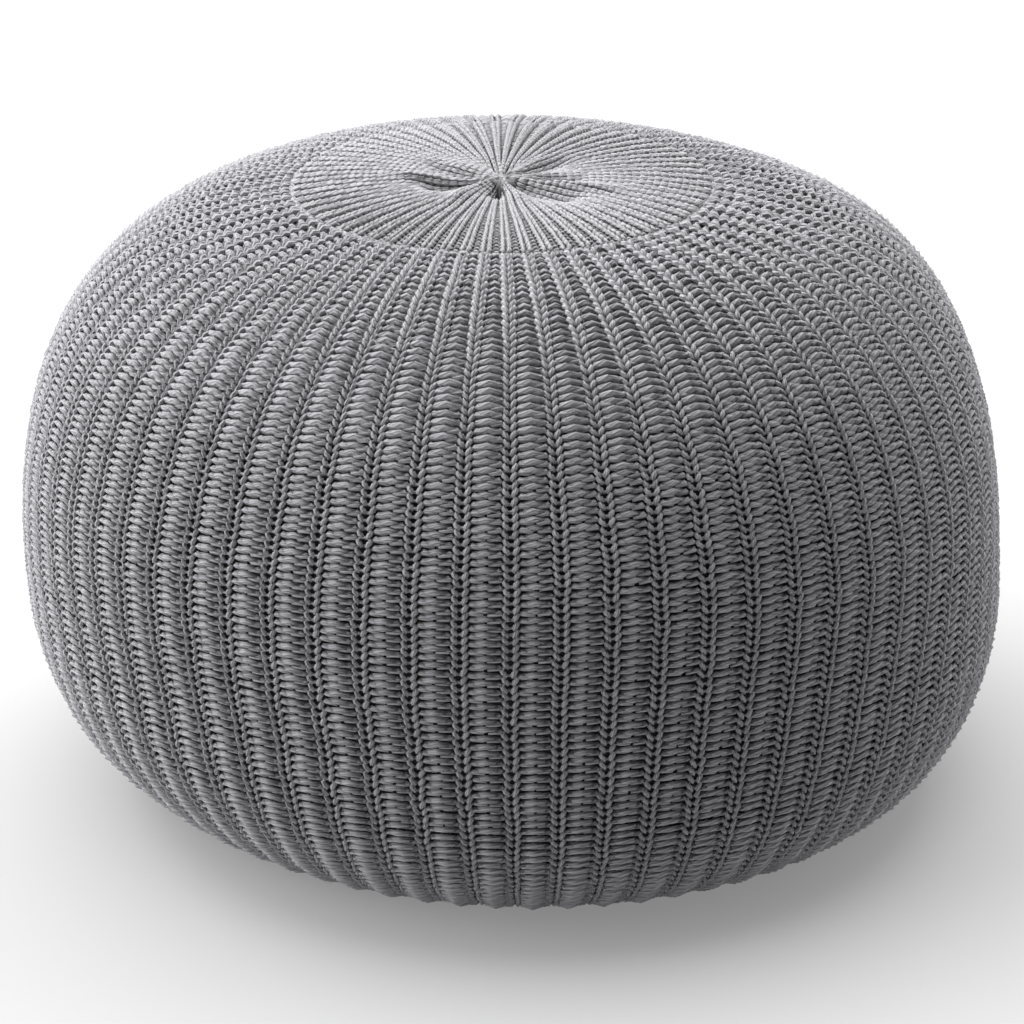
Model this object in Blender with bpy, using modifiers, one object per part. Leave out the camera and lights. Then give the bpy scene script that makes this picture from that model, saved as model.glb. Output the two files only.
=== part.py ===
"""A round knitted pouf, drawn together at the crown and filled: one closed solid of its outer form.

Metres, +Z up. The origin is under the middle of the waist, on the floor that the foot rests on.
The cover is a single knitted tube, so the whole pouf is one node.
"""

import math

import bmesh
import bpy

# Driving dimensions, in metres.
RADIUS = 0.280  # at the waist, where the pouf is widest
HEIGHT = 0.350  # from the floor to the rim of the crown's gathers
WAIST_HEIGHT = 0.109
FOOT_RADIUS = 0.199  # the flat that rests on the floor
CROWN_RADIUS = 0.072  # the gathered middle of the top
CROWN_LEAN = -0.009  # how far the crown sits along X from the waist
FOOT_LEAN = 0.0105  # how far the foot sits along X from the waist

# How square the two halves are: 2 is an ellipse, and more is squarer.
SHOULDER_POWER = 3.1
FOOT_POWER = 1.83
FOOT_LEAN_POWER = 1.5  # how suddenly the foot steps aside below the waist

# Facets.
SEGMENTS = 108
CROWN_RINGS = 14
SHOULDER_RINGS = 17
FOOT_RINGS = 8
MERGE = 0.00001
CURVE_SAMPLES = 2000  # of each curve, when it is measured for its rings

# Where the filling pushes the knit out, or leaves it slack: the bearing from +X, the height of its
# middle, how far it spreads round and up, and how far out it goes.
BULGE_COLUMNS = ("bearing_deg", "height", "spread_deg", "spread_up", "out")
BULGES = (
    (22, 0.300, 30, 0.045, 0.0062),
    (158, 0.285, 32, 0.060, -0.0028),
    (181, 0.140, 22, 0.050, 0.0032),
    (192, 0.040, 20, 0.030, 0.0030),
    (232, 0.030, 16, 0.030, -0.0016),
    (262, 0.215, 24, 0.060, 0.0016),
    (310, 0.070, 22, 0.040, -0.0014),
    (95, 0.230, 34, 0.070, -0.0020),
    (60, 0.110, 26, 0.050, -0.0018),
)

# The folds that the gathering leaves in the crown: the bearing from +X where each starts, how far
# it has swung round by its end, where it starts and ends from the middle, its width and its depth.
# A negative depth is a ridge between two folds.
FOLD_COLUMNS = ("bearing_deg", "swing_deg", "start", "end", "width", "depth")
FOLDS = (
    (200, -2, 0.006, 0.052, 0.0085, 0.0105),
    (163, -12, 0.010, 0.044, 0.0065, 0.0050),
    (267, 0, 0.007, 0.041, 0.0038, 0.0140),
    (303, 13, 0.008, 0.056, 0.0065, 0.0085),
    (352, 0, 0.020, 0.044, 0.0050, 0.0030),
    (37, 0, 0.012, 0.046, 0.0055, 0.0060),
    (75, 0, 0.006, 0.026, 0.0035, 0.0030),
    (100, 0, 0.006, 0.026, 0.0035, 0.0030),
    (180, 0, 0.003, 0.060, 0.0040, -0.0025),
    (233, 6, 0.004, 0.050, 0.0065, -0.0030),
    (285, 0, 0.003, 0.046, 0.0050, -0.0030),
    (328, 12, 0.004, 0.070, 0.0050, -0.0025),
    (48, 6, 0.003, 0.040, 0.0045, -0.0020),
    (118, 25, 0.003, 0.038, 0.0055, -0.0020),
    (8, 0, 0.012, 0.034, 0.0070, -0.0015),
)
FOLD_RISE = 0.010  # over which a fold fades in and out along its length
DIMPLE_DEPTH = 0.0030  # how far the gathers draw the middle down
DIMPLE_RADIUS = 0.050

COVER_NAME = "knitted_cover"
YARN_COLOUR = (0.36, 0.36, 0.37, 1.0)
YARN_ROUGHNESS = 0.9


def rows(columns, table):
    """Each row of a table as a dictionary of its named columns."""
    return [dict(zip(columns, row)) for row in table]


def bell(distance, width):
    """1 in the middle, and about a third at the width."""
    return math.exp(-((distance / width) ** 2))


def smooth_step(value):
    value = min(max(value, 0.0), 1.0)
    return value * value * (3.0 - 2.0 * value)


def turn_between(first_deg, second_deg):
    """The smaller angle between two bearings, in degrees."""
    return (first_deg - second_deg + 180.0) % 360.0 - 180.0


def shoulder_point(angle):
    """A point of the upper outline, from the waist at 0 to the top at a quarter turn."""
    across = max(math.cos(angle), 0.0) ** (2.0 / SHOULDER_POWER)
    up = math.sin(angle) ** (2.0 / SHOULDER_POWER)
    return RADIUS * across, WAIST_HEIGHT + (HEIGHT - WAIST_HEIGHT) * up


def foot_point(angle):
    """A point of the lower outline, from the waist at 0 to the edge of the flat foot."""
    across = max(math.cos(angle), 0.0) ** (2.0 / FOOT_POWER)
    down = math.sin(angle) ** (2.0 / FOOT_POWER)
    return FOOT_RADIUS + (RADIUS - FOOT_RADIUS) * across, WAIST_HEIGHT * (1.0 - down)


def evenly_spaced(curve, first_angle, last_angle, count):
    """Points of a curve at equal steps of its length, without its first point."""
    turn = (last_angle - first_angle) / CURVE_SAMPLES
    samples = [curve(first_angle + turn * step) for step in range(CURVE_SAMPLES + 1)]
    lengths = [0.0]
    for start, end in zip(samples, samples[1:]):
        lengths.append(lengths[-1] + math.dist(start, end))
    points = []
    sample = 0
    for step in range(1, count):
        while lengths[sample] < lengths[-1] * step / count:
            sample += 1
        points.append(samples[sample])
    return points + [samples[-1]]


def outline():
    """The (radius, height) points of the turned form, from the crown's middle down to the foot's."""
    quarter = math.pi / 2.0
    crown_angle = math.acos((CROWN_RADIUS / RADIUS) ** (SHOULDER_POWER / 2.0))
    points = [(0.0, HEIGHT)]
    points += evenly_spaced(shoulder_point, quarter, crown_angle, CROWN_RINGS)
    points += evenly_spaced(shoulder_point, crown_angle, 0.0, SHOULDER_RINGS)
    points += evenly_spaced(foot_point, 0.0, quarter, FOOT_RINGS)
    points.append((0.0, 0.0))
    return points


def turned(name, points):
    """A closed mesh object, the outline turned about Z."""
    mesh = bpy.data.meshes.new(name)
    edges = [(i, i + 1) for i in range(len(points) - 1)]
    mesh.from_pydata([(radius, 0.0, height) for radius, height in points], edges, [])
    profile = bpy.data.objects.new(name, mesh)
    bpy.context.scene.collection.objects.link(profile)
    screw = profile.modifiers.new("Turn", "SCREW")
    screw.axis = "Z"
    screw.steps = SEGMENTS
    screw.render_steps = SEGMENTS
    screw.use_merge_vertices = True
    screw.merge_threshold = MERGE
    bpy.context.view_layer.update()
    graph = bpy.context.evaluated_depsgraph_get()
    profile.data = bpy.data.meshes.new_from_object(profile.evaluated_get(graph))
    profile.modifiers.clear()
    return profile


def bulge_at(bearing_deg, height):
    """How far out the filling pushes the knit at a bearing and height."""
    total = 0.0
    for bulge in rows(BULGE_COLUMNS, BULGES):
        around = turn_between(bearing_deg, bulge["bearing_deg"])
        up = height - bulge["height"]
        total += bulge["out"] * bell(around, bulge["spread_deg"]) * bell(up, bulge["spread_up"])
    return total


def fold_at(x, y):
    """How far down the crown's folds draw the knit at a point of the top, from its middle."""
    radius = math.hypot(x, y)
    around = math.degrees(math.atan2(y, x))
    total = DIMPLE_DEPTH * bell(radius, DIMPLE_RADIUS)
    for fold in rows(FOLD_COLUMNS, FOLDS):
        swing = fold["swing_deg"] * min(radius / fold["end"], 1.0)
        turn = math.radians(turn_between(around, fold["bearing_deg"] + swing))
        if abs(turn) > math.pi / 2.0:
            continue
        fade_in = smooth_step((radius - fold["start"]) / FOLD_RISE + 0.5)
        fade_out = smooth_step((fold["end"] - radius) / (2.0 * FOLD_RISE) + 0.5)
        aside = radius * math.sin(turn)
        total += fold["depth"] * fade_in * fade_out * bell(aside, fold["width"])
    return total


def lean_at(height):
    """How far along X the form's middle is at a height."""
    if height >= WAIST_HEIGHT:
        return CROWN_LEAN * (height - WAIST_HEIGHT) / (HEIGHT - WAIST_HEIGHT)
    return FOOT_LEAN * (1.0 - height / WAIST_HEIGHT) ** FOOT_LEAN_POWER


def settle(cover):
    """Moves the turned form's points as the filling, the gathers and the lean do."""
    for vertex in cover.data.vertices:
        x, y, z = vertex.co
        radius = math.hypot(x, y)
        on_foot = z < MERGE
        if radius > CROWN_RADIUS and not on_foot:
            scale = 1.0 + bulge_at(math.degrees(math.atan2(y, x)), z) / radius
            x, y = x * scale, y * scale
        lean = lean_at(z)
        if z > HEIGHT / 2.0:
            z -= fold_at(x, y)
        vertex.co = (x + lean, y, z)


def closed_outwards(cover):
    """Welds the poles and points every face out."""
    work = bmesh.new()
    work.from_mesh(cover.data)
    bmesh.ops.remove_doubles(work, verts=work.verts, dist=MERGE)
    bmesh.ops.recalc_face_normals(work, faces=work.faces)
    work.to_mesh(cover.data)
    work.free()
    cover.data.shade_smooth()
    cover.data.set_sharp_from_angle(angle=math.radians(50.0))


def yarn_material():
    material = bpy.data.materials.new("grey_cotton_yarn")
    material.use_nodes = True
    shader = material.node_tree.nodes["Principled BSDF"]
    shader.inputs["Base Color"].default_value = YARN_COLOUR
    shader.inputs["Roughness"].default_value = YARN_ROUGHNESS
    shader.inputs["Metallic"].default_value = 0.0
    return material


def clear_scene():
    for thing in list(bpy.data.objects):
        bpy.data.objects.remove(thing, do_unlink=True)


def build():
    clear_scene()
    cover = turned(COVER_NAME, outline())
    settle(cover)
    closed_outwards(cover)
    cover.data.materials.append(yarn_material())
    pouf = bpy.data.collections.new("knitted_pouf")
    bpy.context.scene.collection.children.link(pouf)
    bpy.context.scene.collection.objects.unlink(cover)
    pouf.objects.link(cover)


build()
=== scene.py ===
"""A round knitted pouf: a filled pad under real loops of thick grey cotton yarn, in one by one rib.

The form is a turned outline with the filling's bulges and the crown's gathers. The yarn runs round
and round it, one closed course above the next, and Geometry Nodes lay each loop on the form.
"""

import math

import bpy
import numpy as np
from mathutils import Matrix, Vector


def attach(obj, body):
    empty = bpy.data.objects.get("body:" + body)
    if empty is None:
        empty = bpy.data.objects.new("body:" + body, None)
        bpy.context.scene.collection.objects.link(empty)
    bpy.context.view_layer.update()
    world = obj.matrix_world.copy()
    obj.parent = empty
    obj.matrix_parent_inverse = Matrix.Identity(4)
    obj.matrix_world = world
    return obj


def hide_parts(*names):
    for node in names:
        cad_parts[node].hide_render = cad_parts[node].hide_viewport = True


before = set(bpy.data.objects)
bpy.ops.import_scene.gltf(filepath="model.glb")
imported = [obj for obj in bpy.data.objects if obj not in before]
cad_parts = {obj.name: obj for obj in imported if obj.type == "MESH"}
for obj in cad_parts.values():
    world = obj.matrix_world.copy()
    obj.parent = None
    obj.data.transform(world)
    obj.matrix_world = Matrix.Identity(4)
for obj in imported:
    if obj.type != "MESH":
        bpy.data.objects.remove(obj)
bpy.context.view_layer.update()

# ---------------------------------------------------------------- the form, in metres

RADIUS = 0.280
HEIGHT = 0.350
WAIST_HEIGHT = 0.109
FOOT_RADIUS = 0.199
CROWN_LEAN = -0.009
FOOT_LEAN = 0.0105
SHOULDER_POWER = 3.1
FOOT_POWER = 1.83
FOOT_LEAN_POWER = 1.5
CURVE_SAMPLES = 4000

# The filling's bulges, which fade out where the crown starts.
BULGE_START_RADIUS = 0.060
BULGE_RISE = 0.030
BULGE_COLUMNS = ("bearing_deg", "height", "spread_deg", "spread_up", "out")
BULGES = (
    (22, 0.300, 30, 0.045, 0.0062),
    (158, 0.285, 32, 0.060, -0.0028),
    (181, 0.140, 22, 0.050, 0.0032),
    (192, 0.040, 20, 0.030, 0.0030),
    (232, 0.030, 16, 0.030, -0.0016),
    (262, 0.215, 24, 0.060, 0.0016),
    (310, 0.070, 22, 0.040, -0.0014),
    (95, 0.230, 34, 0.070, -0.0020),
    (60, 0.110, 26, 0.050, -0.0018),
)

# The folds of the gathered crown. A negative depth is a ridge between two folds.
FOLD_COLUMNS = ("bearing_deg", "swing_deg", "start", "end", "width", "depth")
FOLDS = (
    (200, -2, 0.010, 0.044, 0.0105, 0.0072),
    (163, -12, 0.012, 0.044, 0.0075, 0.0036),
    (267, 0, 0.008, 0.032, 0.0038, 0.0085),
    (303, 13, 0.010, 0.056, 0.0085, 0.0052),
    (352, 0, 0.020, 0.044, 0.0050, 0.0030),
    (37, 0, 0.014, 0.046, 0.0080, 0.0034),
    (75, 0, 0.006, 0.026, 0.0035, 0.0030),
    (100, 0, 0.006, 0.026, 0.0035, 0.0030),
    (180, 0, 0.003, 0.060, 0.0040, -0.0025),
    (233, 6, 0.004, 0.050, 0.0065, -0.0030),
    (285, 0, 0.003, 0.046, 0.0050, -0.0030),
    (328, 12, 0.004, 0.070, 0.0050, -0.0025),
    (48, 6, 0.003, 0.040, 0.0045, -0.0020),
    (118, 25, 0.003, 0.038, 0.0055, -0.0020),
    (8, 0, 0.012, 0.034, 0.0070, -0.0015),
)
FOLD_RISE = 0.010
FOLD_FULL_RADIUS = 0.028  # where the folds reach their full width
FOLD_NARROWEST = 0.45  # their share of that width at the crown's middle
DIMPLE_DEPTH = 0.0030
DIMPLE_RADIUS = 0.050

# The mesh that the knit is laid on has close rings at the crown, where the folds are.
FORM_SIDES = 396
FOLDED_RADIUS = 0.075
FORM_CROWN_STEP = 0.0012
FORM_RINGS = 120
FORM_END_GAP = 0.006

PAD_SIDES = 108
PAD_START = 0.003
PAD_CROWN_STEP = 0.004
PAD_RINGS = 44
PAD_END_GAP = 0.010
PAD_INSET = 0.0042  # how far the pad lies inside the knit

# ---------------------------------------------------------------- the knit

RIBS = 66
RIB_PHASE = 0.020  # how far the ribs are turned from an even start, in ribs
FRONT_TURN = 0.75  # the front, in turns round from +X
CROWN_EDGE = 0.119  # from the crown's middle, along the knit, to the last of its fine rows
FOOT_START = 0.585  # where the plain underside starts, along the knit
CROWN_GAP = 0.005  # the hole that the gathered yarn leaves in the crown's middle
FOOT_GAP = 0.010  # and in the foot's
EDGE_GAP = 0.001  # from the crown's last row to the ring of stitches round it
EDGE_LENGTH = 0.001
BODY_GAP = 0.0054  # from the crown's last row to the body's first
BODY_BANDS = 5

# Down the knit from the middle of the crown: the pitch of the rows, the yarn's radius, and how far
# the rows are pulled sideways: 0 is tight, 1 eased and 2 stretched.
ROW_COLUMNS = ("along", "pitch", "yarn_radius", "stretch")
CROWN_ROWS = (
    (0.005, 0.0060, 0.00050, 0.0),
    (0.040, 0.0040, 0.00105, 0.5),
    (0.118, 0.0039, 0.00130, 1.0),
)
EDGE_ROWS = (
    (0.119, 0.0040, 0.00180, 0.0),
    (0.125, 0.0040, 0.00180, 0.0),
)
BODY_ROWS = (
    (0.122, 0.0059, 0.00185, 0.00),
    (0.170, 0.0053, 0.00182, 0.30),
    (0.208, 0.0047, 0.00172, 0.85),
    (0.235, 0.0045, 0.00163, 1.00),
    (0.262, 0.0043, 0.00155, 1.50),
    (0.290, 0.0043, 0.00150, 2.00),
    (0.360, 0.0043, 0.00146, 2.00),
    (0.440, 0.0047, 0.00148, 1.90),
    (0.490, 0.0054, 0.00150, 1.55),
    (0.560, 0.0057, 0.00150, 1.00),
)
FOOT_ROWS = (
    (0.590, 0.0076, 0.00210, 1.00),
    (0.770, 0.0076, 0.00100, 0.00),
)

# How far the ribs drift sideways down the knit, in ribs, and how much closer they stand in front.
SWAY_COLUMNS = ("along", "twist", "gather")
SWAYS = (
    (0.120, 0.300, 0.000),
    (0.170, 0.270, 0.000),
    (0.220, 0.200, 0.000),
    (0.270, 0.110, 0.000),
    (0.320, 0.060, 0.000),
    (0.360, -0.010, 0.000),
    (0.400, -0.090, 0.030),
    (0.440, -0.115, 0.070),
    (0.470, -0.150, 0.085),
    (0.500, -0.240, 0.085),
    (0.540, -0.420, 0.085),
    (0.580, -0.600, 0.085),
)

# Half of one rib's loop, from the back of the knit wale's head to the top of the purl wale's bow:
# across in ribs from the knit wale's middle, up in rows, out in yarn widths, where 0 is outermost,
# and the yarn's girth there, where 1 is its own.
LOOP_COLUMNS = ("across", "up", "out", "girth")
MIRRORED = (-1.0, 1.0, 1.0, 1.0)
FIRST_BEHIND = 2  # points from the top of the last rib's bow to the loop's own start
STRETCHED_LOOP = (
    (0.085, 0.98, -0.62, 0.70),  # head, behind
    (0.134, 0.62, -0.34, 0.92),  # leg, top
    (0.104, 0.30, -0.20, 1.00),  # leg, middle
    (0.060, -0.10, -0.42, 0.80),  # leg, foot
    (0.120, -0.42, -1.25, 0.60),  # under the row below
    (0.225, -0.15, -0.36, 1.10),  # purl foot
    (0.440, -0.40, -0.60, 0.92),  # dips
    (0.400, 0.45, -1.90, 0.50),  # behind
    (0.275, 0.92, -0.75, 1.00),  # bow, shoulder
    (0.500, 1.04, -0.22, 1.18),  # bow, top
)
MIDDLE_LOOP = (
    (0.070, 1.00, -0.90, 0.62),
    (0.140, 0.76, -0.38, 0.82),
    (0.086, 0.38, -0.22, 0.88),
    (0.028, -0.06, -0.50, 0.72),
    (0.100, -0.42, -1.20, 0.55),
    (0.205, -0.16, -0.30, 1.12),
    (0.425, -0.38, -0.46, 1.06),
    (0.330, 0.48, -1.40, 0.55),
    (0.250, 0.90, -0.34, 1.20),
    (0.500, 1.03, 0.02, 1.38),
)
TIGHT_LOOP = (
    (0.120, 1.00, -1.10, 0.60),
    (0.210, 0.79, -0.08, 0.87),
    (0.140, 0.42, 0.07, 1.04),
    (0.045, -0.04, -0.38, 0.78),
    (0.140, -0.42, -1.30, 0.50),
    (0.250, -0.25, -1.00, 0.70),
    (0.360, 0.05, -1.30, 0.60),
    (0.285, 0.66, -0.95, 0.85),
    (0.360, 0.98, -0.55, 1.02),
    (0.500, 1.03, -0.42, 1.15),
)
CROWN_LOOP = (
    (0.110, 0.95, -0.40, 0.90),
    (0.170, 0.55, -0.05, 1.30),
    (0.105, -0.25, -0.10, 1.15),
    (0.330, -0.05, -1.00, 0.75),
    (0.405, 0.38, -0.72, 0.85),
    (0.500, 0.46, -0.68, 0.95),
)
EDGE_LOOP = (
    (0.120, 0.75, -0.30, 1.00),
    (0.250, 0.20, -0.50, 0.90),
    (0.380, 0.60, -0.35, 0.95),
    (0.500, 0.40, -0.35, 1.00),
)
FOOT_LOOP = (
    (0.050, 0.95, -0.90, 0.80),
    (0.150, 0.70, 0.00, 1.00),
    (0.055, -0.20, -0.10, 0.90),
    (0.300, -0.20, -0.70, 1.00),
    (0.500, 0.50, -0.30, 1.00),
)


def rows(columns, table):
    """Each row of a table as a dictionary of its named columns."""
    return [dict(zip(columns, row)) for row in table]


def column(columns, table, name):
    """One named column of a table, as an array."""
    return np.array([row[name] for row in rows(columns, table)])


# ---------------------------------------------------------------- the form's surface


def bell(distance, width):
    """A smooth hump, 1 in its middle."""
    return np.exp(-((distance / width) ** 2))


def smooth_step(value):
    """A smooth rise from 0 to 1."""
    value = np.clip(value, 0.0, 1.0)
    return value * value * (3.0 - 2.0 * value)


def turn_between(first_deg, second_deg):
    """The shorter turn from one bearing to another, in degrees."""
    return (first_deg - second_deg + 180.0) % 360.0 - 180.0


def meridian():
    """Distances along the turned outline from the crown's middle to the foot's, with their points."""
    angle = np.linspace(math.pi / 2.0, 0.0, CURVE_SAMPLES)
    cosine = np.clip(np.cos(angle), 0.0, 1.0)
    shoulder_radius = RADIUS * cosine ** (2.0 / SHOULDER_POWER)
    rise = HEIGHT - WAIST_HEIGHT
    shoulder_height = WAIST_HEIGHT + rise * np.sin(angle) ** (2.0 / SHOULDER_POWER)
    spread = RADIUS - FOOT_RADIUS
    foot_radius = FOOT_RADIUS + spread * cosine[::-1] ** (2.0 / FOOT_POWER)
    foot_height = WAIST_HEIGHT * (1.0 - np.sin(angle[::-1]) ** (2.0 / FOOT_POWER))
    radius = np.concatenate([[0.0], shoulder_radius[1:], foot_radius[1:], [0.0]])
    height = np.concatenate([[HEIGHT], shoulder_height[1:], foot_height[1:], [0.0]])
    steps = np.hypot(np.diff(radius), np.diff(height))
    return np.concatenate([[0.0], np.cumsum(steps)]), radius, height


MERIDIAN = meridian()
LENGTH = float(MERIDIAN[0][-1])


def form_points(bearing, along):
    """Points of the yarn's outside, at bearings in radians and distances along the knit."""
    radius = np.interp(along, MERIDIAN[0], MERIDIAN[1])
    height = np.interp(along, MERIDIAN[0], MERIDIAN[2])
    degrees = np.degrees(bearing)
    on_side = smooth_step((radius - BULGE_START_RADIUS) / BULGE_RISE) * (height > 0.0)
    for bulge in rows(BULGE_COLUMNS, BULGES):
        around = bell(turn_between(degrees, bulge["bearing_deg"]), bulge["spread_deg"])
        up = bell(height - bulge["height"], bulge["spread_up"])
        radius = radius + bulge["out"] * around * up * on_side
    x = radius * np.cos(bearing)
    y = radius * np.sin(bearing)
    above = np.clip((height - WAIST_HEIGHT) / (HEIGHT - WAIST_HEIGHT), 0.0, 1.0)
    below = np.clip(1.0 - height / WAIST_HEIGHT, 0.0, 1.0)
    lean = CROWN_LEAN * above + FOOT_LEAN * below**FOOT_LEAN_POWER
    drop = np.where(height > HEIGHT / 2.0, fold_depth(radius, degrees), 0.0)
    return np.stack([x + lean, y, height - drop], axis=-1)


def fold_depth(radius, degrees):
    """How far down the crown's gathers draw the knit."""
    total = DIMPLE_DEPTH * bell(radius, DIMPLE_RADIUS)
    for fold in rows(FOLD_COLUMNS, FOLDS):
        swing = fold["swing_deg"] * np.minimum(radius / fold["end"], 1.0)
        turn = np.radians(turn_between(degrees, fold["bearing_deg"] + swing))
        fade_in = smooth_step((radius - fold["start"]) / FOLD_RISE + 0.5)
        fade_out = smooth_step((fold["end"] - radius) / (2.0 * FOLD_RISE) + 0.5)
        aside = np.where(np.abs(turn) < math.pi / 2.0, radius * np.sin(turn), 1.0)
        width = fold["width"] * np.clip(radius / FOLD_FULL_RADIUS, FOLD_NARROWEST, 1.0)
        total = total + fold["depth"] * fade_in * fade_out * bell(aside, width)
    return total


def surface_mesh(name, around, alongs):
    """A closed mesh of the form, with a UV map of turns round and share along the knit."""
    bearings = np.arange(around) * 2.0 * math.pi / around
    grid = form_points(bearings[None, :], np.array(alongs)[:, None]).reshape(-1, 3)
    poles = [form_points(0.0, 0.0), form_points(0.0, LENGTH)]
    points = np.concatenate([[poles[0]], grid, [poles[1]]])
    last = len(points) - 1
    faces = []
    uvs = []
    shares = [along / LENGTH for along in alongs]
    for step in range(around):
        following = (step + 1) % around
        left = step / around
        right = (step + 1) / around
        middle = (left + right) / 2.0
        faces.append((0, 1 + step, 1 + following))
        uvs += [(middle, 0.0), (left, shares[0]), (right, shares[0])]
        for ring in range(len(alongs) - 1):
            upper = 1 + ring * around
            lower = upper + around
            faces.append((upper + step, lower + step, lower + following, upper + following))
            uvs += [(left, shares[ring]), (left, shares[ring + 1])]
            uvs += [(right, shares[ring + 1]), (right, shares[ring])]
        bottom = 1 + (len(alongs) - 1) * around
        faces.append((bottom + step, last, bottom + following))
        uvs += [(left, shares[-1]), (middle, 1.0), (right, shares[-1])]
    mesh = bpy.data.meshes.new(name)
    mesh.from_pydata(points.tolist(), [], faces)
    layer = mesh.uv_layers.new(name="knit")
    layer.data.foreach_set("uv", np.array(uvs, dtype=np.float32).ravel())
    mesh.shade_smooth()
    mesh.update()
    return mesh


# ---------------------------------------------------------------- node trees


class Wire:
    """An output socket that sums, products and the like can be written with."""

    def __init__(self, nodes, socket):
        self.nodes = nodes
        self.socket = socket

    def math(self, operation, *others, vector=False):
        kind = "ShaderNodeVectorMath" if vector else "ShaderNodeMath"
        sockets = dict(enumerate((self,) + others))
        return self.nodes.add(kind, {"operation": operation}, sockets)

    def __add__(self, other):
        return self.math("ADD", other)

    def __radd__(self, other):
        return self.math("ADD", other)

    def __sub__(self, other):
        return self.math("SUBTRACT", other)

    def __rsub__(self, other):
        return self.nodes.add("ShaderNodeMath", {"operation": "SUBTRACT"}, {0: other, 1: self})

    def __mul__(self, other):
        return self.math("MULTIPLY", other)

    def __rmul__(self, other):
        return self.math("MULTIPLY", other)

    def __truediv__(self, other):
        return self.math("DIVIDE", other)


class Nodes:
    """Adds nodes to a tree: their kind, their settings, and then their sockets."""

    def __init__(self, tree):
        self.tree = tree

    def add(self, kind, settings=None, sockets=None, output=0):
        node = self.tree.nodes.new(kind)
        for name, value in (settings or {}).items():
            setattr(node, name, value)
        for name, value in (sockets or {}).items():
            socket = node.inputs[name]
            if isinstance(value, Wire):
                self.tree.links.new(value.socket, socket)
            else:
                socket.default_value = value
        return Wire(self, self.output_of(node, output))

    @staticmethod
    def output_of(node, output):
        if isinstance(output, str):
            return [s for s in node.outputs if s.name == output and s.enabled][0]
        return [s for s in node.outputs if s.enabled][output]

    def combine(self, x, y, z):
        return self.add("ShaderNodeCombineXYZ", {}, {"X": x, "Y": y, "Z": z})


# ---------------------------------------------------------------- the loops of yarn

# How far a loop strays at full unevenness, in the loop tables' own units.
STRAY_ACROSS = 0.018
STRAY_UP = 0.07
STRAY_OUT = 0.10
WAVER_ACROSS = 0.05
WAVER_UP = 0.35
WAVER_PER_RIB = 0.23
WAVER_PER_COURSE = 0.31
WAVER_PER_SEED = 7.1

# The yarn's section, in yarn radii: a rounded crest over a flat back.
CREST_OUT = 1.0
BACK_OUT = -0.3
BACK_HALF_WIDTH = 1.05

TREE_INPUTS = (
    ("Courses", "NodeSocketGeometry"),
    ("Form", "NodeSocketObject"),
    ("Loop", "NodeSocketObject"),
    ("Ribs", "NodeSocketInt"),
    ("Loop Points", "NodeSocketInt"),
    ("Phase", "NodeSocketFloat"),
    ("Unevenness", "NodeSocketFloat"),
    ("Seed", "NodeSocketInt"),
    ("Yarn", "NodeSocketMaterial"),
)


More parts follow.
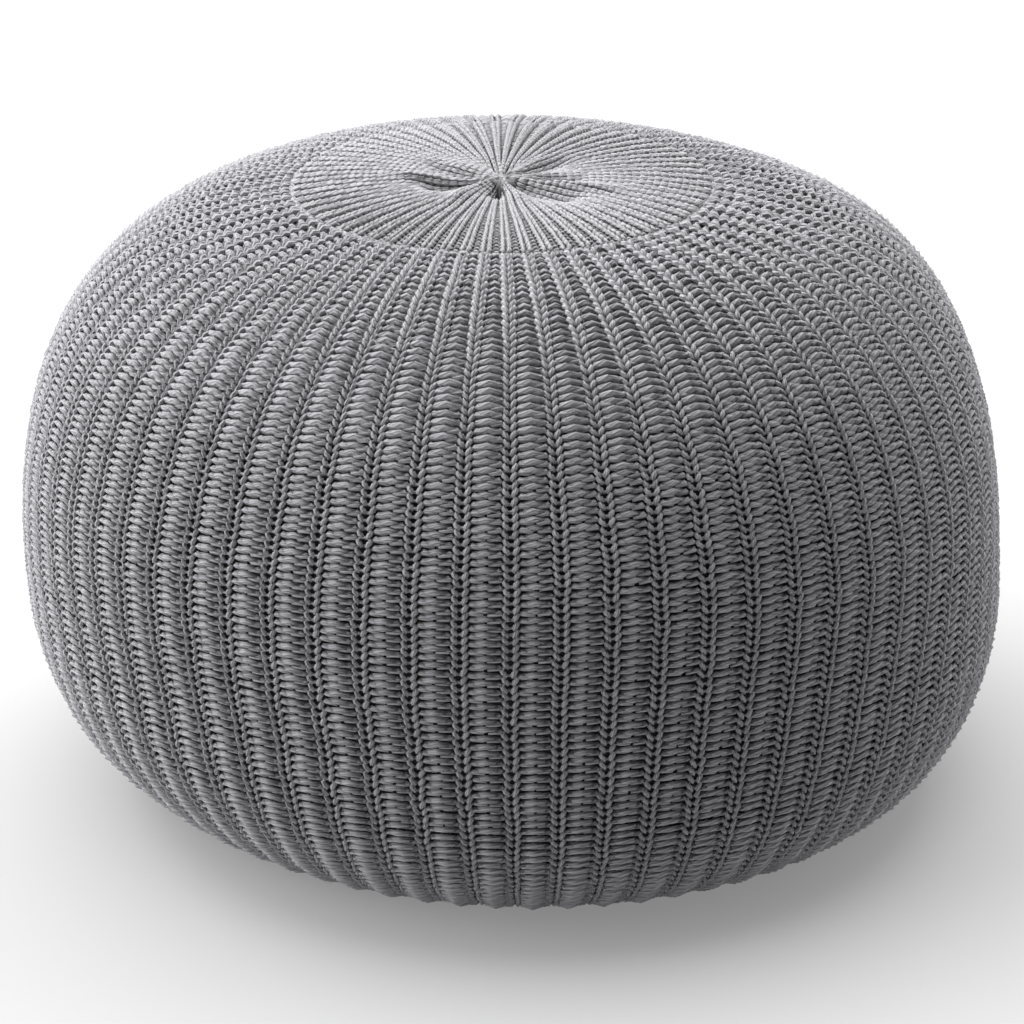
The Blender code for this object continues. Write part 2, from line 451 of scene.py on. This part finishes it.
def knit_tree():
    """Closed courses of yarn laid on a form, whose modified object holds a point for each course."""
    tree = bpy.data.node_groups.new("knit_courses", "GeometryNodeTree")
    for name, kind in TREE_INPUTS:
        tree.interface.new_socket(name, in_out="INPUT", socket_type=kind)
    tree.interface.new_socket("Knit", in_out="OUTPUT", socket_type="NodeSocketGeometry")
    nodes = Nodes(tree)
    group = tree.nodes.new("NodeGroupInput")
    given = {name: Wire(nodes, group.outputs[name]) for name, _ in TREE_INPUTS}

    def named(name, kind):
        settings = {"data_type": kind}
        return nodes.add("GeometryNodeInputNamedAttribute", settings, {"Name": name})

    def whole(operation, first, second):
        return nodes.add("FunctionNodeIntegerMath", {"operation": operation}, {0: first, 1: second})

    def pick(geometry, value, index, kind="FLOAT"):
        sockets = {"Geometry": geometry, "Value": value, "Index": index}
        return nodes.add("GeometryNodeSampleIndex", {"data_type": kind}, sockets)

    # One closed ring of points for each course.
    in_course = whole("MULTIPLY", given["Ribs"], given["Loop Points"])
    ring = nodes.add("GeometryNodeCurvePrimitiveCircle", {}, {"Resolution": in_course})
    placed = nodes.add("GeometryNodeInstanceOnPoints", {}, {"Points": given["Courses"], "Instance": ring})
    rings = nodes.add("GeometryNodeRealizeInstances", {}, {"Geometry": placed})

    # Which course, rib and step of the loop each point is.
    index = nodes.add("GeometryNodeInputIndex")
    course = whole("DIVIDE_FLOOR", index, in_course)
    place = whole("MODULO", index, in_course)
    rib = whole("DIVIDE_FLOOR", place, given["Loop Points"])
    step = whole("MODULO", place, given["Loop Points"])

    along = pick(given["Courses"], named("along", "FLOAT"), course)
    pitch = pick(given["Courses"], named("pitch", "FLOAT"), course)
    yarn = pick(given["Courses"], named("yarn_radius", "FLOAT"), course)
    stretch = pick(given["Courses"], named("stretch", "FLOAT"), course)
    twist = pick(given["Courses"], named("twist", "FLOAT"), course)
    gather = pick(given["Courses"], named("gather", "FLOAT"), course)
    loop = nodes.add("GeometryNodeObjectInfo", {}, {"Object": given["Loop"]}, "Geometry")
    tight = pick(loop, named("tight", "FLOAT_VECTOR"), step, "FLOAT_VECTOR")
    stretched = pick(loop, named("stretched", "FLOAT_VECTOR"), step, "FLOAT_VECTOR")
    middle = pick(loop, named("middle", "FLOAT_VECTOR"), step, "FLOAT_VECTOR")
    eased = stretch.math("MINIMUM", 1.0)
    opened = stretch - eased
    # A Mix node's factor is its socket 0 and its vectors are 4 and 5, or its colours 6 and 7.
    half = nodes.add("ShaderNodeMix", {"data_type": "VECTOR"}, {0: eased, 4: tight, 5: middle}, 0)
    mixed = nodes.add("ShaderNodeMix", {"data_type": "VECTOR"}, {0: opened, 4: half, 5: stretched}, 0)
    tight_girth = pick(loop, named("tight_girth", "FLOAT"), step)
    middle_girth = pick(loop, named("middle_girth", "FLOAT"), step)
    stretched_girth = pick(loop, named("stretched_girth", "FLOAT"), step)
    girth = tight_girth + (middle_girth - tight_girth) * eased
    girth = girth + (stretched_girth - middle_girth) * opened
    parts = tree.nodes.new("ShaderNodeSeparateXYZ")
    tree.links.new(mixed.socket, parts.inputs[0])
    across, up, out = (Wire(nodes, socket) for socket in parts.outputs)

    # Every loop is a little uneven, and courses waver together.
    loop_number = whole("ADD", whole("MULTIPLY", course, given["Ribs"]), rib)
    scatter = nodes.add(
        "FunctionNodeRandomValue",
        {"data_type": "FLOAT_VECTOR"},
        {0: (-1.0, -1.0, -1.0), 1: (1.0, 1.0, 1.0), "ID": loop_number, "Seed": given["Seed"]},
        "Value",
    )
    shift = tree.nodes.new("ShaderNodeSeparateXYZ")
    tree.links.new(scatter.socket, shift.inputs[0])
    side_shift, up_shift, out_shift = (Wire(nodes, socket) for socket in shift.outputs)
    waver_seed = given["Seed"] * WAVER_PER_SEED
    waver_place = nodes.combine(rib * WAVER_PER_RIB, course * WAVER_PER_COURSE, waver_seed)
    waver = nodes.add("ShaderNodeTexNoise", {}, {"Vector": waver_place, "Scale": 1.0, "Detail": 1.0})
    waver = waver - 0.5
    across = across + given["Unevenness"] * (side_shift * STRAY_ACROSS + waver * WAVER_ACROSS)
    up = up + given["Unevenness"] * (up_shift * STRAY_UP + waver * WAVER_UP)
    out = out + given["Unevenness"] * out_shift * STRAY_OUT

    turns = (rib + across + given["Phase"] + twist + 0.5) / given["Ribs"]
    swing = ((turns - FRONT_TURN) * (2.0 * math.pi)).math("SINE")
    turns = (turns - gather * swing / (2.0 * math.pi)).math("WRAP", 1.0, 0.0)
    share = along - up * pitch
    on_form = nodes.combine(turns, share, 0.0)
    form = nodes.add("GeometryNodeObjectInfo", {}, {"Object": given["Form"]}, "Geometry")
    uv_map = named("knit", "FLOAT_VECTOR")

    def sample(value):
        sockets = {"Mesh": form, "Value": value, "UV Map": uv_map, "Sample UV": on_form}
        return nodes.add("GeometryNodeSampleUVSurface", {"data_type": "FLOAT_VECTOR"}, sockets)

    surface = sample(nodes.add("GeometryNodeInputPosition"))
    outward = sample(nodes.add("GeometryNodeInputNormal"))
    reach = (out * 2.0 - 1.0) * yarn
    moved = nodes.add("ShaderNodeVectorMath", {"operation": "SCALE"}, {0: outward, "Scale": reach})
    where = surface.math("ADD", moved, vector=True)

    def store(geometry, name, value, kind="FLOAT"):
        settings = {"data_type": kind, "domain": "POINT"}
        sockets = {"Geometry": geometry, "Name": name, "Value": value}
        return nodes.add("GeometryNodeStoreNamedAttribute", settings, sockets)

    rings = store(rings, "outward", outward, "FLOAT_VECTOR")
    rings = store(rings, "thickness", yarn * girth)
    # The loop's random shift in and out also shades its yarn: loops set deeper are painted darker, which
    # is painted shade, and loops differ a little at random.
    rings = store(rings, "tone", out_shift)
    rings = nodes.add("GeometryNodeSetPosition", {}, {"Geometry": rings, "Position": where})
    length = nodes.add("GeometryNodeSplineParameter", {}, {}, "Length")
    rings = store(rings, "length", length)

    # The yarn's flat back is turned to the form, square to the way it runs.
    tangent = nodes.add("GeometryNodeInputTangent")
    facing = named("outward", "FLOAT_VECTOR")
    lead = facing.math("DOT_PRODUCT", tangent, vector=True)
    lead = Wire(nodes, lead.socket.node.outputs["Value"])
    sideways = nodes.add("ShaderNodeVectorMath", {"operation": "SCALE"}, {0: tangent, "Scale": lead})
    facing = facing.math("SUBTRACT", sideways, vector=True)
    settings = {"mode": "FREE"}
    rings = nodes.add("GeometryNodeSetCurveNormal", settings, {"Curve": rings, "Normal": facing})

    # Three sides: a rounded outside between two edges, and the back.
    section = nodes.add("GeometryNodeCurvePrimitiveCircle", {}, {"Resolution": 3, "Radius": 1.0})
    corner = nodes.add("GeometryNodeInputIndex")
    is_crest = corner.math("COMPARE", 0.0, 0.1)
    side = 3.0 - corner * 2.0
    section = store(section, "round", (1.0 - is_crest) * side)
    height = is_crest * (CREST_OUT - BACK_OUT) + BACK_OUT
    edge = nodes.combine(height, (1.0 - is_crest) * side * BACK_HALF_WIDTH, 0.0)
    section = nodes.add("GeometryNodeSetPosition", {}, {"Geometry": section, "Position": edge})
    sockets = {"Curve": rings, "Profile Curve": section, "Scale": named("thickness", "FLOAT")}
    knit = nodes.add("GeometryNodeCurveToMesh", {}, sockets)
    knit = nodes.add("GeometryNodeSetShadeSmooth", {}, {"Geometry": knit})
    knit = nodes.add("GeometryNodeRealizeInstances", {}, {"Geometry": knit})
    knit = nodes.add("GeometryNodeSetMaterial", {}, {"Geometry": knit, "Material": given["Yarn"]})
    result = tree.nodes.new("NodeGroupOutput")
    tree.links.new(knit.socket, result.inputs["Knit"])
    return tree


def placed_object(name, data):
    """A new object at the origin, in the scene."""
    thing = bpy.data.objects.new(name, data)
    bpy.context.scene.collection.objects.link(thing)
    return thing


def points_object(name, attributes):
    """An object of loose points, with an attribute for each named array."""
    count = len(next(iter(attributes.values())))
    mesh = bpy.data.meshes.new(name)
    mesh.from_pydata([(0.0, 0.0, 0.0)] * count, [], [])
    for key, values in attributes.items():
        values = np.asarray(values, dtype=np.float32)
        is_vector = values.ndim == 2
        kind = "FLOAT_VECTOR" if is_vector else "FLOAT"
        field = "vector" if is_vector else "value"
        mesh.attributes.new(key, kind, "POINT").data.foreach_set(field, values.ravel())
    return placed_object(name, mesh)


def loop_path(half):
    """The whole loop of one rib from its right half, starting where it passes behind."""
    half = np.stack([column(LOOP_COLUMNS, half, name) for name in LOOP_COLUMNS], axis=-1)
    left = half[::-1] * MIRRORED
    path = np.concatenate([left, half[:-1]])
    path[:FIRST_BEHIND, 0] += 1.0
    return np.roll(path, -FIRST_BEHIND, axis=0)


def loop_object(name, tight, middle, stretched):
    """Loose points that hold a loop's path and girth, tight, eased and stretched."""
    attributes = {}
    for key, half in (("tight", tight), ("middle", middle), ("stretched", stretched)):
        path = loop_path(half)
        attributes[key] = path[:, :3]
        attributes[key + "_girth"] = path[:, 3]
    return points_object(name, attributes)


def courses(table, start, end):
    """The courses between two distances along the knit, with their pitch, yarn and stretch."""
    stations = column(ROW_COLUMNS, table, "along")
    found = {name: [] for name in ROW_COLUMNS}
    along = start
    while along < end:
        found["along"].append(along)
        for name in ROW_COLUMNS[1:]:
            found[name].append(np.interp(along, stations, column(ROW_COLUMNS, table, name)))
        along += found["pitch"][-1]
    sway_stations = column(SWAY_COLUMNS, SWAYS, "along")
    for name in SWAY_COLUMNS[1:]:
        found[name] = np.interp(found["along"], sway_stations, column(SWAY_COLUMNS, SWAYS, name))
    return found


def knit(name, loop, found, yarn, unevenness, seed):
    """One piece of knitted yarn, laid on the form, as a plain mesh."""
    attributes = {
        "along": np.array(found["along"]) / LENGTH,
        "pitch": np.array(found["pitch"]) / LENGTH,
        "yarn_radius": found["yarn_radius"],
        "stretch": found["stretch"],
        "twist": found["twist"],
        "gather": found["gather"],
    }
    piece = points_object(name, attributes)
    modifier = piece.modifiers.new("Knit", "NODES")
    modifier.node_group = tree
    values = {
        "Form": form,
        "Loop": loop,
        "Ribs": RIBS,
        "Loop Points": len(loop.data.vertices),
        "Phase": RIB_PHASE,
        "Unevenness": unevenness,
        "Seed": seed,
        "Yarn": yarn,
    }
    for socket in tree.interface.items_tree:
        if socket.name in values:
            modifier[socket.identifier] = values[socket.name]
    bpy.context.view_layer.update()
    graph = bpy.context.evaluated_depsgraph_get()
    piece.data = bpy.data.meshes.new_from_object(piece.evaluated_get(graph))
    piece.data.name = name
    piece.modifiers.clear()
    return piece


def bands(found, count):
    """The courses split into bands of about equal size, from the crown down."""
    total = len(found["along"])
    edges = [round(total * step / count) for step in range(count + 1)]
    for first, last in zip(edges, edges[1:]):
        yield {name: values[first:last] for name, values in found.items()}


# ---------------------------------------------------------------- materials

BODY_YARN = (0.286, 0.282, 0.300)
# The crown's yarn is the body's grey made a little paler: painted light, for the crown that looks
# brighter under the light from above.
CROWN_YARN = (0.308, 0.305, 0.322)
BODY_PLIES = 3
CROWN_PLIES = 2
BODY_RELIEF = 0.0008  # how deep the plies look, in metres
CROWN_RELIEF = 0.0005
PAINTED_SHADE_PER_RELIEF = 500.0  # painted shade: how much of the colour is lost between plies, for each metre of relief

PLY_TURNS = 90.0  # plies to each metre of yarn
PLY_STRAY = 3.0  # how far the plies of one loop stray from the next one's
GRAIN_ALONG = 260.0
GRAIN_ROUND = 5.0
GRAIN_STRAY = 20.0

# The pad's dark colour is painted shade, for the shaded back of the knit seen between the loops.
PAD_PAINTED_SHADE = 0.018
PAD_PAINTED_CROWN_LIGHT = 0.16  # painted light, added towards the crown, where light comes through the knit
PAD_CROWN_LIGHT_START = 0.26
PAD_CROWN_LIGHT_END = 0.34


def new_material(name):
    """A material with its node helper and its shader."""
    material = bpy.data.materials.new(name)
    material.use_nodes = True
    nodes = Nodes(material.node_tree)
    shader = material.node_tree.nodes["Principled BSDF"]
    return material, nodes, shader


def yarn_material(name, colour, plies, relief):
    """Soft cotton yarn: its plies wind round it, with fine fibres along them."""
    material, nodes, shader = new_material(name)

    def attribute(key):
        return nodes.add("ShaderNodeAttribute", {"attribute_name": key}, {}, "Fac")

    length = attribute("length")
    around = attribute("round")
    tone = attribute("tone")
    phase = length * PLY_TURNS + around * plies * 0.5 + tone * PLY_STRAY
    ply = (phase * math.pi).math("SINE").math("ABSOLUTE")
    grain_place = nodes.combine(length * GRAIN_ALONG, around * GRAIN_ROUND, tone * GRAIN_STRAY)
    grain = nodes.add("ShaderNodeTexNoise", {}, {"Vector": grain_place, "Scale": 1.0, "Detail": 3.0})

    height = ply * 0.7 + grain * 0.6
    bump = nodes.add("ShaderNodeBump", {}, {"Strength": 0.8, "Distance": relief, "Height": height})
    material.node_tree.links.new(bump.socket, shader.inputs["Normal"])

    # The ply term paints shade into the grooves between plies and painted light onto their crests,
    # besides the bump.
    shade = relief * PAINTED_SHADE_PER_RELIEF
    dark = (*[part * (1.0 - shade) for part in colour], 1.0)
    light = (*[part * (1.0 + shade) for part in colour], 1.0)
    # Loops set deeper come out darker here: painted shade, which also varies at random from loop to loop.
    lightness = ply * 0.5 + grain * 0.5 + tone * 0.10
    sockets = {0: lightness, 6: dark, 7: light}
    blend = nodes.add("ShaderNodeMix", {"data_type": "RGBA"}, sockets)
    material.node_tree.links.new(blend.socket, shader.inputs["Base Color"])

    shader.inputs["Roughness"].default_value = 0.85
    shader.inputs["Specular IOR Level"].default_value = 0.25
    shader.inputs["Sheen Weight"].default_value = 0.35
    shader.inputs["Sheen Roughness"].default_value = 0.4
    return material


def pad_material():
    """The back of the knit in painted shade, made paler near the crown by painted light."""
    material, nodes, shader = new_material("shaded_backing_yarn")
    place = nodes.add("ShaderNodeTexCoord", {}, {}, "Object")
    height = nodes.add("ShaderNodeSeparateXYZ", {}, {"Vector": place}, "Z")
    sockets = {"Value": height, "From Min": PAD_CROWN_LIGHT_START, "From Max": PAD_CROWN_LIGHT_END}
    near_crown = nodes.add("ShaderNodeMapRange", {}, sockets)
    # Painted shade all over, with painted light added towards the crown.
    shade = near_crown * PAD_PAINTED_CROWN_LIGHT + PAD_PAINTED_SHADE
    material.node_tree.links.new(shade.socket, shader.inputs["Base Color"])
    shader.inputs["Roughness"].default_value = 0.95
    return material


# ---------------------------------------------------------------- pieces


def form_object():
    """The form that the knit is laid on, which is taken away again."""
    crown_rings = np.arange(FORM_CROWN_STEP, FOLDED_RADIUS, FORM_CROWN_STEP)
    other_rings = np.linspace(FOLDED_RADIUS, LENGTH - FORM_END_GAP, FORM_RINGS)
    mesh = surface_mesh("form", FORM_SIDES, np.concatenate([crown_rings, other_rings]))
    return placed_object("form", mesh)


def pad_object():
    """The dark form just inside the knit, which stands for the knit's back: its dark colour is painted
    shade.
    """
    crown_rings = np.arange(PAD_START, FOLDED_RADIUS, PAD_CROWN_STEP)
    other_rings = np.linspace(FOLDED_RADIUS, LENGTH - PAD_END_GAP, PAD_RINGS)
    mesh = surface_mesh("pad", PAD_SIDES, np.concatenate([crown_rings, other_rings]))
    normals = np.empty(len(mesh.vertices) * 3, dtype=np.float32)
    places = np.empty(len(mesh.vertices) * 3, dtype=np.float32)
    mesh.vertex_normals.foreach_get("vector", normals)
    mesh.vertices.foreach_get("co", places)
    mesh.vertices.foreach_set("co", places - normals * PAD_INSET)
    mesh.update()
    mesh.materials.append(pad_material())
    return placed_object("pad", mesh)


tree = knit_tree()
form = form_object()
body_yarn = yarn_material("grey_cotton_yarn", BODY_YARN, BODY_PLIES, BODY_RELIEF)
# The crown's yarn is painted a little lighter than the body's, as painted light.
crown_yarn = yarn_material("crown_cotton_yarn_painted_lighter", CROWN_YARN, CROWN_PLIES, CROWN_RELIEF)

body_loop = loop_object("body_loop", TIGHT_LOOP, MIDDLE_LOOP, STRETCHED_LOOP)
crown_loop = loop_object("crown_loop", CROWN_LOOP, CROWN_LOOP, CROWN_LOOP)
edge_loop = loop_object("edge_loop", EDGE_LOOP, EDGE_LOOP, EDGE_LOOP)
foot_loop = loop_object("foot_loop", FOOT_LOOP, FOOT_LOOP, FOOT_LOOP)

crown_courses = courses(CROWN_ROWS, CROWN_GAP, CROWN_EDGE)
edge_start = CROWN_EDGE + EDGE_GAP
edge_courses = courses(EDGE_ROWS, edge_start, edge_start + EDGE_LENGTH)
body_courses = courses(BODY_ROWS, CROWN_EDGE + BODY_GAP, FOOT_START)
foot_courses = courses(FOOT_ROWS, FOOT_START, LENGTH - FOOT_GAP)

pieces = [
    knit("crown_knit", crown_loop, crown_courses, crown_yarn, unevenness=0.8, seed=3),
    knit("crown_edge_row", edge_loop, edge_courses, crown_yarn, unevenness=1.0, seed=7),
]
for number, band in enumerate(bands(body_courses, BODY_BANDS)):
    name = f"body_knit_{number + 1}"
    pieces.append(knit(name, body_loop, band, body_yarn, unevenness=1.0, seed=11 + number))
pieces.append(knit("foot_knit", foot_loop, foot_courses, body_yarn, unevenness=0.6, seed=31))
pieces.append(pad_object())

for helper in (form, body_loop, crown_loop, edge_loop, foot_loop):
    bpy.data.objects.remove(helper, do_unlink=True)

for piece in pieces:
    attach(piece, "root")
    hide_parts("knitted_cover")

# ---------------------------------------------------------------- floor, light and camera

FLOOR_REACH = 6.0
FLOOR_SHADE = 0.315
FLOOR_MOTTLE = 0.01
FLOOR_GLOW = 0.22

LIGHT_SPREAD_DEG = 80
LIGHT_COLUMNS = ("name", "source", "strength")
LIGHTS = (
    ("top_light", (-0.12, 0.46, 0.88), 5.2),
    ("left_light", (-1.0, 0.22, 0.35), 6.1),
    ("right_light", (1.0, 0.85, 0.15), 3.2),
)
ROOM_LIGHT = 0.14  # what the pale studio gives the knit, where the room itself is seen at 1

CAMERA_PLACE = (0.0, -2.0725, 1.018)
CAMERA_AIM = (-0.0024, 0.0, 0.1446)
CAMERA_LENS = 136.8


def floor_object():
    """A plain pale floor."""
    reach = FLOOR_REACH
    corners = [(-reach, -reach, 0), (reach, -reach, 0), (reach, reach, 0), (-reach, reach, 0)]
    mesh = bpy.data.meshes.new("floor")
    mesh.from_pydata(corners, [], [(0, 1, 2, 3)])
    material, nodes, shader = new_material("pale_floor")
    place = nodes.add("ShaderNodeTexCoord", {}, {}, "Object")
    mottle = nodes.add("ShaderNodeTexNoise", {}, {"Vector": place, "Scale": 3.0})
    shade = mottle * FLOOR_MOTTLE + FLOOR_SHADE
    material.node_tree.links.new(shade.socket, shader.inputs["Base Color"])
    shader.inputs["Roughness"].default_value = 0.9
    shader.inputs["Emission Color"].default_value = (1.0, 1.0, 1.0, 1.0)
    shader.inputs["Emission Strength"].default_value = FLOOR_GLOW
    mesh.materials.append(material)
    return placed_object("floor", mesh)


def turned_from(place, aim):
    """The turn of a light or camera that stands at a place and points at its aim."""
    return (Vector(place) - Vector(aim)).to_track_quat("Z", "Y").to_euler()


def soft_light(light):
    """A wide soft light that comes from one side, the same everywhere on the floor."""
    lamp = bpy.data.lights.new(light["name"], "SUN")
    lamp.angle = math.radians(LIGHT_SPREAD_DEG)
    lamp.energy = light["strength"]
    placed_object(light["name"], lamp).rotation_euler = turned_from(light["source"], (0.0, 0.0, 0.0))


def pale_studio():
    """White all round to look at, but dim enough to leave the knit its shading."""
    world = bpy.data.worlds.new("studio")
    world.use_nodes = True
    nodes = Nodes(world.node_tree)
    seen = nodes.add("ShaderNodeLightPath", {}, {}, "Is Camera Ray")
    strength = seen * (1.0 - ROOM_LIGHT) + ROOM_LIGHT
    background = world.node_tree.nodes["Background"]
    background.inputs["Color"].default_value = (1.0, 1.0, 1.0, 1.0)
    world.node_tree.links.new(strength.socket, background.inputs["Strength"])
    return world


floor_object()
for light in rows(LIGHT_COLUMNS, LIGHTS):
    soft_light(light)
bpy.context.scene.world = pale_studio()
bpy.context.scene.view_settings.view_transform = "Standard"

camera = placed_object("camera", bpy.data.cameras.new("camera"))
camera.data.lens = CAMERA_LENS
camera.location = CAMERA_PLACE
camera.rotation_euler = turned_from(CAMERA_PLACE, CAMERA_AIM)
bpy.context.scene.camera = camera
